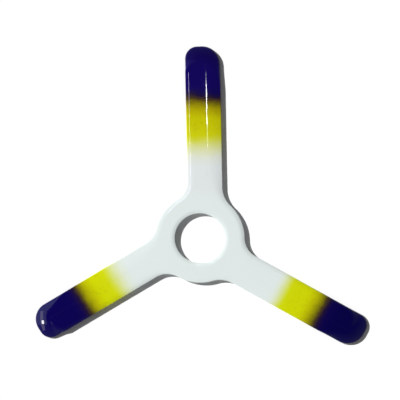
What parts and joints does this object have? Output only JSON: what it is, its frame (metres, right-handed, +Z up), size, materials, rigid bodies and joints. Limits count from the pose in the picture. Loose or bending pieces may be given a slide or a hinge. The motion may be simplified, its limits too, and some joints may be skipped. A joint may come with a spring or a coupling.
{
  "type": "boomerang",
  "caption": "Flat returning boomerang with equal shaped blades around a ring hub with a round hole, cut from laminated birch board and lacquered white, yellow and indigo.",
  "frame": {"origin": "centre of the hub hole, on the flat underside", "axes": "+Z up out of the shaped face, +Y along one blade towards its tip, +X to that blade's trailing side; the other blades follow at 120 and 240 degrees"},
  "size_m": [0.3001, 0.2673, 0.005],
  "materials": {
    "lacquered_face": "birch veneer airbrushed white, yellow and indigo under a glossy clear coat",
    "birch_back": "birch veneer under a clear coat",
    "birch_long_grain": "bonded birch veneer, edges under lacquer",
    "birch_cross_grain": "bonded birch veneer with the grain across, edges under lacquer"
  },
  "bodies": {
    "root": {"back_veneer": "birch_back", "crossband_2": "birch_cross_grain", "long_band_3": "birch_long_grain", "crossband_4": "birch_cross_grain", "centre_veneer_5": "birch_long_grain", "centre_veneer_6": "birch_long_grain", "crossband_7": "birch_cross_grain", "long_band_8": "birch_long_grain", "crossband_9": "birch_cross_grain", "face_veneer": "lacquered_face"}
  },
  "joints": []
}
